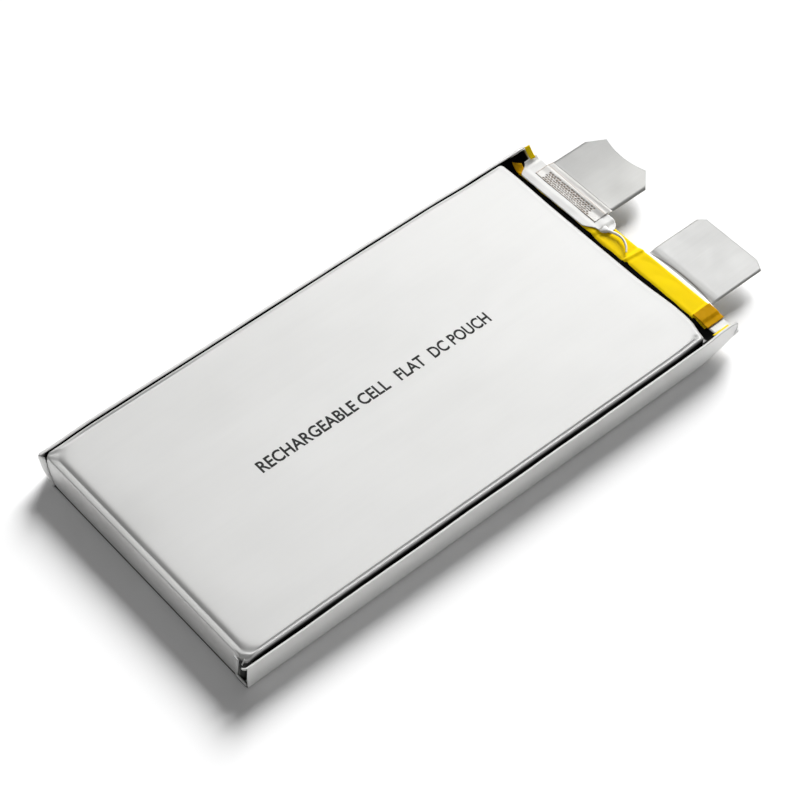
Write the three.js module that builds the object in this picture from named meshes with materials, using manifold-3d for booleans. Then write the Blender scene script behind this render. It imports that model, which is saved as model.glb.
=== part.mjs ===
// Pouch battery cell: a stacked lithium cell sealed in aluminium-laminate film, with two flat
// terminals on one short end.
//
// Millimetres. X runs across the cell, +Y points to the end with the terminals and +Z up.
// The origin is the centre of the pouch's back face, which lies on the plane Z = 0.
//
// The pouch is one sheet of film, folded over at the near end (-Y) and heat-sealed on its other
// three edges. The upper half is drawn into a cup for the stack. The two side seams are folded up
// against the cup, and the sealed strip beyond the cup's far wall is the terrace, where the
// terminals come out between two sealant films each.

import * as THREE from 'three';
import { mergeVertices } from 'three/addons/utils/BufferGeometryUtils.js';
import Module from 'manifold-3d';

const wasm = await Module();
wasm.setup();

// ---------------------------------------------------------------- driving dimensions

const HALF_WIDTH = 37; // outer face of a folded side seam
const NEAR_Y = -73.5; // folded end of the pouch
const SEAM_END_Y = 73.5; // far end of the folded side seams
const TERRACE_END_Y = 74.4; // cut edge of the terrace
const TERMINAL_END_Y = 93;
const THICKNESS = 8;
const SEAM_TOP = 7.9;

const FILM = 0.15; // laminate film
const BOND = 0.02; // bond line kept open between two layers
const SEALANT = 0.1; // one sealant film
const TAB = 0.2; // tab metal
const TAPE = 0.06; // outer adhesive tapes

const CUP = {
  left: -36.1, // the left wall stands close to its seam
  right: 35.3,
  farY: 65.4,
  ledgeEndY: 68.4,
  edgeRadius: 0.85,
  cornerRadius: 2.5,
};
const NEAR_BEVEL = [[0, 7.45], [0.25, 7.65], [1.7, 7.68], [2.4, 7.92], [3.2, 8]]; // in from the fold, height
const BACK_RISE = [ // centre line of the back film where it climbs from the back face to the terrace
  [60.6, 0.075],
  [62.4, 0.4],
  [67.2, 3.3],
  [68.4, 3.675],
];
const POSITIVE = { left: -30.4, right: -9.2 };
const NEGATIVE = { left: 6, right: 27.5 };
const SEALANT_MARGIN = 0.8; // sealant beyond each side of a tab
const FILM_MARGIN = 1.2; // raised film beyond each side of a tab
const FILM_RAMP = 0.8; // width of the step beside the raised film
const SEALANT_Y = [68.9, 75.5];
const YELLOW_TAPE_Y = [69.9, 74.1];

const SHEETS = 25; // electrode sheets, an anode outermost on both sides
const STACK_Z = [0.25, 7.6]; // centre lines of the outermost separator layers
const SHEET = 0.235;
const SEPARATOR = 0.04;
const ANODE = { halfWidth: 33.7, nearY: -68.2, farY: 60 };
const CATHODE = { halfWidth: 33.2, nearY: -67.7, farY: 59.5 };
const WRAP = { halfWidth: 34.3, nearY: -69, farY: 60.7 };
const TONGUE = { width: 14, foil: 0.03, pitch: 0.07, bendY: 60.9, weldY: 63.1, endY: 65.8, overlap: 0.6 };

const BELOW = -1; // depth to which cutting bodies reach under the back face
const CURVE_SEGMENTS = 5;

// ---------------------------------------------------------------- levels in the terrace

const backTop = BACK_RISE.at(-1)[1] + FILM / 2;
const lowerSealantZ = backTop + BOND + SEALANT / 2;
const tabZ = lowerSealantZ + SEALANT / 2 + BOND + TAB / 2;
const upperSealantZ = tabZ + TAB / 2 + BOND + SEALANT / 2;
const lowFilmZ = backTop + BOND + FILM / 2;
const highFilmZ = upperSealantZ + SEALANT / 2 + BOND + FILM / 2;
const outerTapeZ = highFilmZ + FILM / 2 + BOND + TAPE / 2;
const whiteTapeZ = outerTapeZ + TAPE + BOND;
const foldedTabZ = whiteTapeZ + TAPE / 2 + BOND + TAB / 2;
const adapterZ = foldedTabZ + TAB + BOND;
const bladeZ = tabZ + 0.36; // both blades outside the pouch
const weldTapeZ = tabZ + TAB / 2 + BOND; // underside of the insulating tape inside the pouch

// ---------------------------------------------------------------- outlines and solids

// A line parallel to an open polyline, at a distance to the left of its direction, with mitred bends.
function offsetLine(points, distance) {
  const normals = points.slice(1).map(([x, y], i) => {
    const [dx, dy] = [x - points[i][0], y - points[i][1]];
    const length = Math.hypot(dx, dy);
    return [-dy / length, dx / length];
  });
  return points.map(([x, y], i) => {
    const before = normals[Math.max(i - 1, 0)];
    const after = normals[Math.min(i, normals.length - 1)];
    const scale = distance / (1 + before[0] * after[0] + before[1] * after[1]);
    return [x + scale * (before[0] + after[0]), y + scale * (before[1] + after[1])];
  });
}

function outline(points) {
  return new THREE.Shape(points.map(([x, y]) => new THREE.Vector2(x, y)));
}

// The outline of a sheet of even thickness whose middle follows an open polyline.
function ribbon(points, thickness) {
  const near = offsetLine(points, -thickness / 2);
  const far = offsetLine(points, thickness / 2);
  return outline([...near, ...far.reverse()]);
}

function extrude(shape, start, end, basis) {
  const settings = { depth: end - start, bevelEnabled: false, curveSegments: CURVE_SEGMENTS };
  const geometry = new THREE.ExtrudeGeometry(shape, settings);
  geometry.translate(0, 0, start);
  return basis ? geometry.applyMatrix4(basis) : geometry;
}

const X_AXIS = new THREE.Vector3(1, 0, 0);
const Y_AXIS = new THREE.Vector3(0, 1, 0);
const Z_AXIS = new THREE.Vector3(0, 0, 1);
const lengthwise = new THREE.Matrix4().makeBasis(Y_AXIS, Z_AXIS, X_AXIS);
const crosswise = new THREE.Matrix4().makeBasis(X_AXIS, Z_AXIS, Y_AXIS.clone().negate());

// Outlines drawn in Y-Z, X-Z and X-Y, pushed through X, Y and Z.
const throughX = (shape, x0, x1) => extrude(shape, x0, x1, lengthwise);
const throughY = (shape, y0, y1) => extrude(shape, -y1, -y0, crosswise);
const throughZ = (shape, z0, z1) => extrude(shape, z0, z1);

function block(x0, x1, y0, y1, z0, z1) {
  return throughZ(outline([[x0, y0], [x1, y0], [x1, y1], [x0, y1]]), z0, z1);
}

function solid(geometry) {
  const bare = geometry.clone();
  bare.deleteAttribute('normal');
  bare.deleteAttribute('uv');
  const merged = mergeVertices(bare);
  const vertProperties = new Float32Array(merged.attributes.position.array);
  const triVerts = new Uint32Array(merged.index.array);
  return new wasm.Manifold(new wasm.Mesh({ numProp: 3, vertProperties, triVerts }));
}

function toGeometry(manifold) {
  const { vertProperties, triVerts } = manifold.getMesh();
  const geometry = new THREE.BufferGeometry();
  geometry.setAttribute('position', new THREE.BufferAttribute(new Float32Array(vertProperties), 3));
  geometry.setIndex(new THREE.BufferAttribute(new Uint32Array(triVerts), 1));
  geometry.computeVertexNormals();
  return geometry;
}

const join = (first, ...others) => others.reduce((sum, other) => sum.add(other), first);
const cut = (first, ...others) => others.reduce((rest, other) => rest.subtract(other), first);

// ---------------------------------------------------------------- pouch film

// Centre line of the back film in Y-Z, from the fold to a given far end on the terrace.
const backLine = (endY) => [[NEAR_Y, FILM / 2], ...BACK_RISE, [endY, BACK_RISE.at(-1)[1]]];

// Centre line of the upper film across the terrace in X-Z, raised over the two tabs.
function terraceLine(from, to) {
  const raised = [POSITIVE, NEGATIVE].flatMap(({ left, right }) => [
    [left - FILM_MARGIN - FILM_RAMP, lowFilmZ],
    [left - FILM_MARGIN, highFilmZ],
    [right + FILM_MARGIN, highFilmZ],
    [right + FILM_MARGIN + FILM_RAMP, lowFilmZ],
  ]);
  return [[from, lowFilmZ], ...raised, [to, lowFilmZ]];
}

// The space that the drawn cup fills, or, with an inset, the space inside it.
function cupSolid(inset) {
  const left = CUP.left + inset;
  const right = CUP.right - inset;
  const near = NEAR_Y + inset;
  const far = CUP.farY - inset;
  const top = THICKNESS - inset;
  const ledgeEnd = CUP.ledgeEndY - inset;
  const edge = CUP.edgeRadius - inset;
  const corner = CUP.cornerRadius - inset;

  const profile = new THREE.Shape();
  profile.moveTo(near, BELOW);
  for (const [along, height] of NEAR_BEVEL) profile.lineTo(near + along, height - inset);
  profile.absarc(far - edge, top - edge, edge, Math.PI / 2, 0, true);
  profile.lineTo(far, lowFilmZ + FILM / 2 - inset);
  profile.lineTo(ledgeEnd, lowFilmZ + FILM / 2 - inset);
  profile.lineTo(ledgeEnd, BELOW);

  const section = new THREE.Shape();
  section.moveTo(left, BELOW);
  section.lineTo(left, top - edge);
  section.absarc(left + edge, top - edge, edge, Math.PI, Math.PI / 2, true);
  section.absarc(right - edge, top - edge, edge, Math.PI / 2, 0, true);
  section.lineTo(right, BELOW);

  const plan = new THREE.Shape();
  plan.moveTo(right, ledgeEnd);
  plan.lineTo(left, ledgeEnd);
  plan.absarc(left + corner, near + corner, corner, Math.PI, 1.5 * Math.PI, false);
  plan.absarc(right - corner, near + corner, corner, 1.5 * Math.PI, 2 * Math.PI, false);

  return solid(throughX(profile, left, right))
    .intersect(solid(throughY(section, near, ledgeEnd)))
    .intersect(solid(throughZ(plan, BELOW, top)));
}

// One upright layer of a folded side seam, rooted at a height above the back film's centre line.
function seamLayer(side, x0, x1, rootHeight) {
  const foot = offsetLine(backLine(SEAM_END_Y), rootHeight);
  const shape = outline([...foot, [SEAM_END_Y, SEAM_TOP], [NEAR_Y, SEAM_TOP]]);
  return solid(side > 0 ? throughX(shape, x0, x1) : throughX(shape, -x1, -x0));
}

function cupFilm() {
  const seamFace = HALF_WIDTH - FILM - BOND; // outer face of the inner seam layer
  const insideLeft = CUP.left + FILM;
  const insideRight = CUP.right - FILM;
  const onBack = FILM / 2 + BOND; // underside of the upper film above the back film's centre line
  const flange = ribbon(offsetLine(backLine(SEAM_END_Y), onBack + FILM / 2), FILM);
  const terrace = throughY(ribbon(terraceLine(-seamFace, seamFace), FILM), CUP.farY - FILM, TERRACE_END_Y);
  const underTerrace = [...offsetLine(terraceLine(insideLeft, insideRight), -FILM / 2),
    [insideRight, BELOW], [insideLeft, BELOW]];
  const underFilm = [...offsetLine(backLine(TERRACE_END_Y + 1), onBack),
    [TERRACE_END_Y + 1, BELOW], [NEAR_Y, BELOW]];

  const film = join(
    cupSolid(0),
    solid(terrace),
    solid(throughX(flange, insideRight, seamFace)),
    solid(throughX(flange, -seamFace, insideLeft)),
    seamLayer(1, seamFace - FILM, seamFace, onBack + FILM / 2),
    seamLayer(-1, seamFace - FILM, seamFace, onBack + FILM / 2),
  );
  return cut(
    film,
    cupSolid(FILM),
    solid(throughY(outline(underTerrace), CUP.farY - 1, TERRACE_END_Y + 1)),
    solid(throughX(outline(underFilm), -HALF_WIDTH, HALF_WIDTH)),
  );
}

// A trough with the outline of the seams from the side, emptied down to the film's upper face.
function backFilm() {
  const wall = HALF_WIDTH - FILM;
  const top = THICKNESS + 1;
  const floor = offsetLine(backLine(TERRACE_END_Y + 1), FILM / 2).slice(1);
  const profile = outline([...offsetLine(backLine(TERRACE_END_Y), -FILM / 2), [TERRACE_END_Y, backTop],
    [SEAM_END_Y, backTop], [SEAM_END_Y, SEAM_TOP], [NEAR_Y, SEAM_TOP]]);
  const hollow = outline([[NEAR_Y - 1, FILM], ...floor, [TERRACE_END_Y + 1, top], [NEAR_Y - 1, top]]);
  return solid(throughX(profile, -HALF_WIDTH, HALF_WIDTH)).subtract(solid(throughX(hollow, -wall, wall)));
}

// ---------------------------------------------------------------- electrode stack

const stackPitch = (STACK_Z[1] - STACK_Z[0]) / SHEETS;

// An electrode sheet with the bare foil tongue that bends to the bundle welded under a tab.
function electrodeSheet(size, tab, level, bundlePlace) {
  const z = STACK_Z[0] + stackPitch * (level + 0.5);
  const bundleZ = tabZ - TAB / 2 - BOND - TONGUE.foil / 2 - TONGUE.pitch * bundlePlace;
  const middle = (tab.left + tab.right) / 2;
  const route = [[size.farY - TONGUE.overlap, z], [TONGUE.bendY, z], [TONGUE.weldY, bundleZ],
    [TONGUE.endY, bundleZ]];
  const sheet = block(-size.halfWidth, size.halfWidth, size.nearY, size.farY, z - SHEET / 2, z + SHEET / 2);
  const tongue = throughX(ribbon(route, TONGUE.foil), middle - TONGUE.width / 2, middle + TONGUE.width / 2);
  return toGeometry(solid(sheet).add(solid(tongue)));
}

// One strip of separator, laid in a zigzag between all the sheets.
function separator() {
  const route = [];
  for (let layer = 0; layer <= SHEETS; layer += 1) {
    const z = STACK_Z[0] + stackPitch * layer;
    const from = layer % 2 === 0 ? -WRAP.halfWidth : WRAP.halfWidth;
    route.push([from, z], [-from, z]);
  }
  return throughY(ribbon(route, SEPARATOR), WRAP.nearY, WRAP.farY);
}

// A strip of tape round one long side of the stack.
function stackTape(side, middleY) {
  const [thickness, reach, clearance, width] = [0.03, 24, 0.1, 16];
  const margin = 0.045; // from a separator layer's middle to the tape's middle
  const [low, high] = [STACK_Z[0] - margin, STACK_Z[1] + margin];
  const edge = WRAP.halfWidth + clearance;
  const route = [[reach, low], [edge, low], [edge, high], [reach, high]];
  const shape = ribbon(route.map(([x, z]) => [side * x, z]), thickness);
  return throughY(shape, middleY - width / 2, middleY + width / 2);
}

// ---------------------------------------------------------------- terminals and their trim

function sealantStrip({ left, right }, z) {
  return block(left - SEALANT_MARGIN, right + SEALANT_MARGIN, ...SEALANT_Y, z - SEALANT / 2, z + SEALANT / 2);
}

// The negative tab: straight out through the seal, with a small joggle up to its blade.
function negativeTab() {
  const { left, right } = NEGATIVE;
  const route = [[TONGUE.weldY, tabZ], [75.9, tabZ], [76.9, bladeZ], [TERMINAL_END_Y, bladeZ]];
  const plan = outline([[left, TONGUE.weldY], [right, TONGUE.weldY], [right, TERMINAL_END_Y - 1.6],
    [right - 3, TERMINAL_END_Y], [left + 1.5, TERMINAL_END_Y], [left, TERMINAL_END_Y - 1.8]]);
  const strip = solid(throughX(ribbon(route, TAB), left, right));
  return toGeometry(strip.intersect(solid(throughZ(plan, 0, THICKNESS))));
}

// The positive tab: out through the seal, round in a hairpin and back over the terrace.
function positiveTab() {
  const bendY = 75.5;
  const returnY = 71.6;
  const bendSteps = 8;
  const radius = (foldedTabZ - tabZ) / 2;
  const route = [[TONGUE.weldY, tabZ]];
  for (let step = 0; step <= bendSteps; step += 1) {
    const angle = -Math.PI / 2 + (Math.PI * step) / bendSteps;
    route.push([bendY + radius * Math.cos(angle), tabZ + radius + radius * Math.sin(angle)]);
  }
  route.push([returnY, foldedTabZ]);
  return throughX(ribbon(route, TAB), POSITIVE.left + 0.2, POSITIVE.right - 0.2);
}

// The nickel adapter: welded flat on the folded tab, over its bend, and down to its blade.
function nickelAdapter() {
  const { left, right } = POSITIVE;
  const startY = 71.4;
  const endNotch = 1.2; // depth of the shallow curve in the blade's end
  const route = [[startY, adapterZ], [74.8, adapterZ], [75.6, adapterZ + 0.1], [76.1, adapterZ + 0.02],
    [77, bladeZ], [TERMINAL_END_Y, bladeZ]];
  const plan = new THREE.Shape();
  plan.moveTo(left, startY);
  plan.lineTo(right, startY);
  plan.lineTo(right, TERMINAL_END_Y - 4.4);
  plan.lineTo(right - 4.5, TERMINAL_END_Y);
  plan.quadraticCurveTo((left + right - 1.8) / 2, TERMINAL_END_Y - 2 * endNotch, left + 2.7, TERMINAL_END_Y);
  plan.lineTo(left, TERMINAL_END_Y - 4.8);
  const strip = solid(throughX(ribbon(route, TAB), left, right));
  return toGeometry(strip.intersect(solid(throughZ(plan, 0, THICKNESS))));
}

// Yellow tape over the whole terrace, following the raised film.
function terraceTape() {
  const lift = FILM / 2 + BOND + TAPE / 2;
  const line = offsetLine(terraceLine(1 - HALF_WIDTH, HALF_WIDTH - 1), lift);
  return throughY(ribbon(line, TAPE), ...YELLOW_TAPE_Y);
}

function terraceTapeUnder() {
  const top = BACK_RISE.at(-1)[1] - FILM / 2 - BOND;
  return block(-34, 34, ...YELLOW_TAPE_Y, top - TAPE, top);
}

// White tape between the folded positive tab and the terrace, with rounded ends.
function adapterTape() {
  const [left, right, near, far] = [POSITIVE.left - 4.6, POSITIVE.right + 4.2, 68.7, SEALANT_Y[1] - 0.1];
  const radius = 2.2;
  const plan = new THREE.Shape();
  plan.absarc(right - radius, near + radius, radius, -Math.PI / 2, 0, false);
  plan.absarc(right - radius, far - radius, radius, 0, Math.PI / 2, false);
  plan.absarc(left + radius, far - radius, radius, Math.PI / 2, Math.PI, false);
  plan.absarc(left + radius, near + radius, radius, Math.PI, 1.5 * Math.PI, false);
  return throughZ(plan, whiteTapeZ - TAPE / 2, whiteTapeZ + TAPE / 2);
}

// Insulating tape inside the pouch, over the welded end of a tab.
function weldTape({ left, right }) {
  const [thickness, nearY, farY, margin] = [0.04, 63.2, 65, 1];
  return block(left + margin, right - margin, nearY, farY, weldTapeZ, weldTapeZ + thickness);
}

// ---------------------------------------------------------------- materials and assembly

const FINISHES = {
  laminate: { color: 0xd9d9d6, metalness: 0.55, roughness: 0.42 },
  aluminium: { color: 0xc9cbcd, metalness: 0.9, roughness: 0.35 },
  nickel: { color: 0xbfbfba, metalness: 0.95, roughness: 0.3 },
  sealant: { color: 0xe9e7df, metalness: 0, roughness: 0.45 },
  polyimide: { color: 0xf0bf1c, metalness: 0, roughness: 0.28 },
  whiteTape: { color: 0xf3f4f4, metalness: 0, roughness: 0.25 },
  cathodeCoating: { color: 0x1f2022, metalness: 0, roughness: 0.85 },
  anodeCoating: { color: 0x35363a, metalness: 0, roughness: 0.8 },
  separatorFilm: { color: 0xf4f4f1, metalness: 0, roughness: 0.6 },
  stackTape: { color: 0x2f7f5a, metalness: 0, roughness: 0.4 },
};

const cell = new THREE.Group();

function addPiece(name, geometry, finish) {
  const mesh = new THREE.Mesh(geometry, new THREE.MeshStandardMaterial(FINISHES[finish]));
  mesh.name = name;
  cell.add(mesh);
}

addPiece('pouch_cup_film', toGeometry(cupFilm()), 'laminate');
addPiece('pouch_back_film', toGeometry(backFilm()), 'laminate');

for (let level = 0; level < SHEETS; level += 1) {
  const isAnode = level % 2 === 0;
  const [kind, size, tab] = isAnode ? ['anode', ANODE, NEGATIVE] : ['cathode', CATHODE, POSITIVE];
  const order = Math.floor(level / 2);
  const count = isAnode ? Math.ceil(SHEETS / 2) : Math.floor(SHEETS / 2);
  const number = String(order + 1).padStart(2, '0');
  addPiece(`${kind}_sheet_${number}`, electrodeSheet(size, tab, level, count - 1 - order), `${kind}Coating`);
}
addPiece('separator', separator(), 'separatorFilm');
for (const [end, y] of [['near', -45], ['far', 35]]) {
  addPiece(`stack_tape_left_${end}`, stackTape(-1, y), 'stackTape');
  addPiece(`stack_tape_right_${end}`, stackTape(1, y), 'stackTape');
}

addPiece('positive_tab', positiveTab(), 'aluminium');
addPiece('nickel_adapter', nickelAdapter(), 'nickel');
addPiece('negative_tab', negativeTab(), 'nickel');
for (const [pole, tab] of [['positive', POSITIVE], ['negative', NEGATIVE]]) {
  addPiece(`${pole}_tab_sealant_upper`, sealantStrip(tab, upperSealantZ), 'sealant');
  addPiece(`${pole}_tab_sealant_lower`, sealantStrip(tab, lowerSealantZ), 'sealant');
  addPiece(`${pole}_weld_tape`, weldTape(tab), 'polyimide');
}
addPiece('terrace_tape', terraceTape(), 'polyimide');
addPiece('terrace_tape_under', terraceTapeUnder(), 'polyimide');
addPiece('adapter_insulating_tape', adapterTape(), 'whiteTape');

export default cell;
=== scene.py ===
# Looks of the pouch battery cell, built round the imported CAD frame. Sizes are in millimetres in the
# tables below and turned into metres where meshes are made. X is across, +Y to the terminals, +Z up.
import math

import bpy
import numpy as np
from mathutils import Matrix, Vector, noise


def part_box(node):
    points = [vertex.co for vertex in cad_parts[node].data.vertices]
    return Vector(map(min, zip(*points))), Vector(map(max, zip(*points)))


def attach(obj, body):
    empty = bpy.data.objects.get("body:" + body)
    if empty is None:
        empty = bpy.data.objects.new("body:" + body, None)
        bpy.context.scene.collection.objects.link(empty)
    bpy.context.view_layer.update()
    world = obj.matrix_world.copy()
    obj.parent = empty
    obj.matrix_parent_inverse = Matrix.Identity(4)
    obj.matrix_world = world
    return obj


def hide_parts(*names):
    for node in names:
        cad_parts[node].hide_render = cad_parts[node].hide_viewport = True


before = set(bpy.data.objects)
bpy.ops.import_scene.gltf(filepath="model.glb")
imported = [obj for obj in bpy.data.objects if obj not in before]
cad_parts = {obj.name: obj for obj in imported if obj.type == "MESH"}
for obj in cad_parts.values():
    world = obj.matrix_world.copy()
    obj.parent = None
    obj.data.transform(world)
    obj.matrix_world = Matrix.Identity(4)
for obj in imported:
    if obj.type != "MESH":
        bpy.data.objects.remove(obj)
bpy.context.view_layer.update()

MM = 0.001


def node_box(name):
    """Lowest and highest corners of a CAD node, in millimetres."""
    low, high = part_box(name)
    return np.array(low) / MM, np.array(high) / MM


cup_high = node_box("pouch_cup_film")[1]
back_low, back_high = node_box("pouch_back_film")
adapter_low, adapter_high = node_box("nickel_adapter")
negative_low, negative_high = node_box("negative_tab")
folded_low, folded_high = node_box("positive_tab")

HALF_WIDTH = back_high[0]
NEAR_Y = back_low[1]
TERRACE_END = back_high[1]
TOP = cup_high[2]
SEAM_TOP = back_high[2]
BLADE_END = adapter_high[1]
BLADE_Z = negative_high[2]
CUP_LEFT = 0.9 - HALF_WIDTH  # the left wall stands close to its seam
CUP_RIGHT = HALF_WIDTH - 1.32
NEAR_FACE = NEAR_Y + 0.7
CUP_FAR_Y = TERRACE_END - 9.0
FILM = 0.15
TAB = 0.2  # metal of the terminals
TAPE = 0.06
RIGHT_SHIFT = 0.38  # how far the right wall and the top of its seam stand out along the middle
WELD_STRIP_END = 77.5  # where the adapter's finely meshed weld strip meets its blade

# ------------------------------------------------------------------ mesh helpers


def smoothstep(value, low=0.0, high=1.0):
    t = np.clip((np.asarray(value, float) - low) / (high - low), 0, 1)
    return t * t * (3 - 2 * t)


def bell(value, middle, width):
    return np.exp(-(((np.asarray(value, float) - middle) / width) ** 2))


def wander(x, y, size_x, size_y, seed=0.0):
    """Smooth noise from -1 to 1 over a surface, with its own cell size along each axis."""
    flat = zip(np.ravel(x), np.ravel(y))
    values = [noise.noise(Vector((a / size_x, b / size_y, seed))) for a, b in flat]
    return np.array(values).reshape(np.shape(x))


def spline(points, count):
    """Points spread evenly along a smooth curve through the given points."""
    p = np.array(points, float)
    p = np.vstack([2 * p[0] - p[1], p, 2 * p[-1] - p[-2]])
    fine = []
    for i in range(1, len(p) - 2):
        for t in np.linspace(0, 1, 24, endpoint=False):
            fine.append(0.5 * (2 * p[i] + (p[i + 1] - p[i - 1]) * t
                               + (2 * p[i - 1] - 5 * p[i] + 4 * p[i + 1] - p[i + 2]) * t * t
                               + (3 * p[i] - p[i - 1] - 3 * p[i + 1] + p[i + 2]) * t ** 3))
    fine.append(p[-2])
    fine = np.array(fine)
    travelled = np.concatenate([[0], np.cumsum(np.linalg.norm(np.diff(fine, axis=0), axis=1))])
    wanted = np.linspace(0, travelled[-1], count)
    return np.stack([np.interp(wanted, travelled, fine[:, k]) for k in range(fine.shape[1])], axis=1)


def rounded(points, radius, count):
    """Points spread evenly along a polyline whose corners are rounded by averaging."""
    p = np.array(points, float)
    travelled = np.concatenate([[0], np.cumsum(np.linalg.norm(np.diff(p, axis=0), axis=1))])
    step = radius / 12
    reach = 12
    at = np.arange(-reach * step, travelled[-1] + reach * step + step / 2, step)
    fine = np.stack([np.interp(at, travelled, p[:, k]) for k in range(p.shape[1])], axis=1)
    # beyond its ends the line goes straight on, so that averaging leaves the ends in place
    for index, sign in ((0, -1), (-1, 1)):
        other = 1 if index == 0 else -2
        way = (p[index] - p[other]) / np.linalg.norm(p[index] - p[other])
        beyond = (at < 0) if index == 0 else (at > travelled[-1])
        over = np.abs(at[beyond] - (0 if index == 0 else travelled[-1]))
        fine[beyond] = p[index] + way * over[:, None]
    window = np.hanning(2 * reach + 3)[1:-1]
    window /= window.sum()
    smooth = np.stack([np.convolve(fine[:, k], window, mode="valid") for k in range(p.shape[1])], axis=1)
    smooth[0], smooth[-1] = p[0], p[-1]
    length = np.concatenate([[0], np.cumsum(np.linalg.norm(np.diff(smooth, axis=0), axis=1))])
    wanted = np.linspace(0, length[-1], count)
    return np.stack([np.interp(wanted, length, smooth[:, k]) for k in range(p.shape[1])], axis=1)


def parallel(points, distance):
    """A 2-D line moved to the left of its direction."""
    p = np.array(points, float)
    d = np.gradient(p, axis=0)
    d /= np.linalg.norm(d, axis=1)[:, None]
    return p + distance * np.stack([-d[:, 1], d[:, 0]], axis=1)


def grid_quads(rows, columns, wrap=False):
    last = columns if wrap else columns - 1
    return [(r * columns + c, r * columns + (c + 1) % columns,
             (r + 1) * columns + (c + 1) % columns, (r + 1) * columns + c)
            for r in range(rows - 1) for c in range(last)]


def make_object(name, points, faces, material):
    mesh = bpy.data.meshes.new(name)
    mesh.from_pydata([tuple(p) for p in np.asarray(points) * MM], [], faces)
    mesh.validate()
    mesh.polygons.foreach_set("use_smooth", [True] * len(mesh.polygons))
    mesh.materials.append(material)
    thing = bpy.data.objects.new(name, mesh)
    bpy.context.scene.collection.objects.link(thing)
    return thing


def make_grid(name, points, material, flip=False):
    """A sheet from a (rows, columns, 3) array of points."""
    rows, columns = points.shape[:2]
    faces = grid_quads(rows, columns)
    if flip:
        faces = [face[::-1] for face in faces]
    return make_object(name, points.reshape(-1, 3), faces, material)


def thicken(thing, thickness, offset=-1.0):
    solidify = thing.modifiers.new("thickness", "SOLIDIFY")
    solidify.thickness = thickness * MM
    solidify.offset = offset
    return thing


def place(thing, slot, *nodes):
    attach(thing, "root")
    if nodes:
        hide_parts(*nodes)
    return thing


def joined(name, things):
    """Joins objects into the first one, with their modifiers made part of the mesh."""
    depsgraph = bpy.context.evaluated_depsgraph_get()
    for thing in things:
        mesh = bpy.data.meshes.new_from_object(thing.evaluated_get(depsgraph))
        thing.modifiers.clear()
        thing.data = mesh
    with bpy.context.temp_override(active_object=things[0], selected_editable_objects=things):
        bpy.ops.object.join()
    things[0].name = name
    things[0].data.name = name
    return things[0]


# ------------------------------------------------------------------ materials


class Nodes:
    """A short way to wire one material's nodes."""

    def __init__(self, name):
        self.material = bpy.data.materials.new(name)
        self.material.use_nodes = True
        self.tree = self.material.node_tree
        self.shader = self.tree.nodes["Principled BSDF"]

    def add(self, kind, inputs=None, **settings):
        node = self.tree.nodes.new(kind)
        for key, value in settings.items():
            setattr(node, key, value)
        for key, value in (inputs or {}).items():
            self.put(node.inputs[key], value)
        return node

    def put(self, socket, value):
        if isinstance(value, bpy.types.NodeSocket):
            self.tree.links.new(value, socket)
        else:
            socket.default_value = value

    def shade(self, **inputs):
        for key, value in inputs.items():
            self.put(self.shader.inputs[key.replace("_", " ")], value)

    def noise(self, scale, detail=3.0, roughness=0.5, stretch=(1, 1, 1)):
        """Noise in object space; stretch squeezes the pattern along an axis."""
        where = self.add("ShaderNodeTexCoord")
        mapping = self.add("ShaderNodeMapping", {"Vector": where.outputs["Object"], "Scale": stretch})
        node = self.add("ShaderNodeTexNoise", {"Vector": mapping.outputs["Vector"], "Scale": scale,
                                               "Detail": detail, "Roughness": roughness})
        return node.outputs["Fac"]

    def ramp(self, factor, *stops):
        node = self.add("ShaderNodeValToRGB", {"Fac": factor})
        elements = node.color_ramp.elements
        while len(elements) < len(stops):
            elements.new(0.5)
        for element, (position, colour) in zip(elements, stops):
            element.position = position
            element.color = colour if len(colour) == 4 else (*colour, 1)
        return node.outputs["Color"]

    def span(self, factor, low, high):
        node = self.add("ShaderNodeMapRange", {"Value": factor, "To Min": low, "To Max": high})
        return node.outputs["Result"]

    def mix(self, factor, first, second, blend="MIX"):
        node = self.add("ShaderNodeMix", data_type="RGBA", blend_type=blend)
        self.put(node.inputs["Factor"], factor)
        self.put(node.inputs["A"], first)
        self.put(node.inputs["B"], second)
        return next(o for o in node.outputs if o.type == "RGBA")

    def bump(self, height, strength, distance):
        node = self.add("ShaderNodeBump", {"Height": height, "Strength": strength,
                                           "Distance": distance * MM})
        self.put(self.shader.inputs["Normal"], node.outputs["Normal"])


def grey(value):
    return (value, value, value, 1)


def laminate_material():
    """Satin nylon skin over aluminium: fine rolled streaks, soft smudges, and painted shade that turns it
    near black in closed gaps, creases and where it turns under.
    """
    n = Nodes("laminate")
    streaks = n.noise(1.0, 4, 0.6, (900, 40, 900))
    smudges = n.noise(28.0, 3, 0.55, (1, 0.45, 1))
    mottle = n.noise(2600.0, 2, 0.5)
    tone = n.ramp(smudges, (0.3, (0.70, 0.70, 0.69)), (0.55, (0.77, 0.77, 0.76)),
                  (0.8, (0.81, 0.81, 0.80)))
    tone = n.mix(0.03, tone, n.ramp(streaks, (0.3, grey(0.55)), (0.7, grey(0.85))))
    # painted shade: where the per-point shade value is set, the film turns near black and stops reflecting
    shade_attribute = n.add("ShaderNodeAttribute", attribute_name="painted_shade")
    colour = n.mix(shade_attribute.outputs["Fac"], tone, (0.002, 0.002, 0.002, 1))
    n.shade(Base_Color=colour, Metallic=0.8, Specular_IOR_Level=n.span(shade_attribute.outputs["Fac"], 0.5, 0.0),
            Roughness=n.span(smudges, 0.50, 0.58))
    n.bump(n.mix(0.5, streaks, mottle), 0.06, 0.02)
    return n.material


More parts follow.
